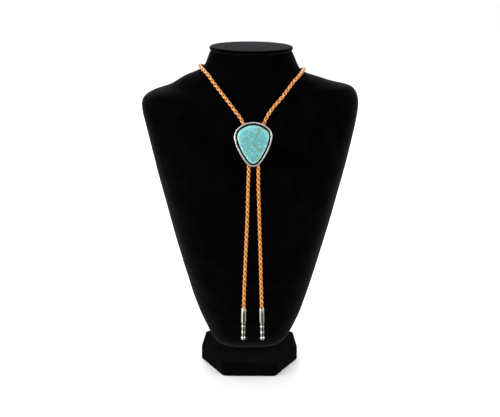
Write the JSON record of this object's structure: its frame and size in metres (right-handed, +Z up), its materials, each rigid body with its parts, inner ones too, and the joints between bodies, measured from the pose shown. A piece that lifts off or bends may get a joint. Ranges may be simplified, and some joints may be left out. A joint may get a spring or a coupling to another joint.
{
  "type": "bolo tie on a neck bust",
  "caption": "Round braided leather cord with a turquoise and silver slide and metal tips, worn by a velvet neck bust on a flat base.",
  "frame": {"origin": "on the table under the middle of the bust, at the underside of the base plate", "axes": "+Z up, -Y is the front of the bust where the slide hangs, +X towards the viewer's right"},
  "size_m": [0.2547, 0.1481, 0.388],
  "materials": {
    "velvet": "matt black velvet",
    "braided_leather": "waxed tan braid",
    "oxidised_silver": "satin silver with a blackened channel",
    "polished_nickel": "polished",
    "turquoise": "polished turquoise with a fine tan web"
  },
  "bodies": {
    "root": {"bust_body": "velvet", "neck_cap": "velvet", "base": "velvet", "cord": "braided_leather", "tip_left": "polished_nickel", "tip_right": "polished_nickel", "setting": "oxidised_silver", "stone": "turquoise", "slide_clasp": "polished_nickel"}
  },
  "joints": []
}
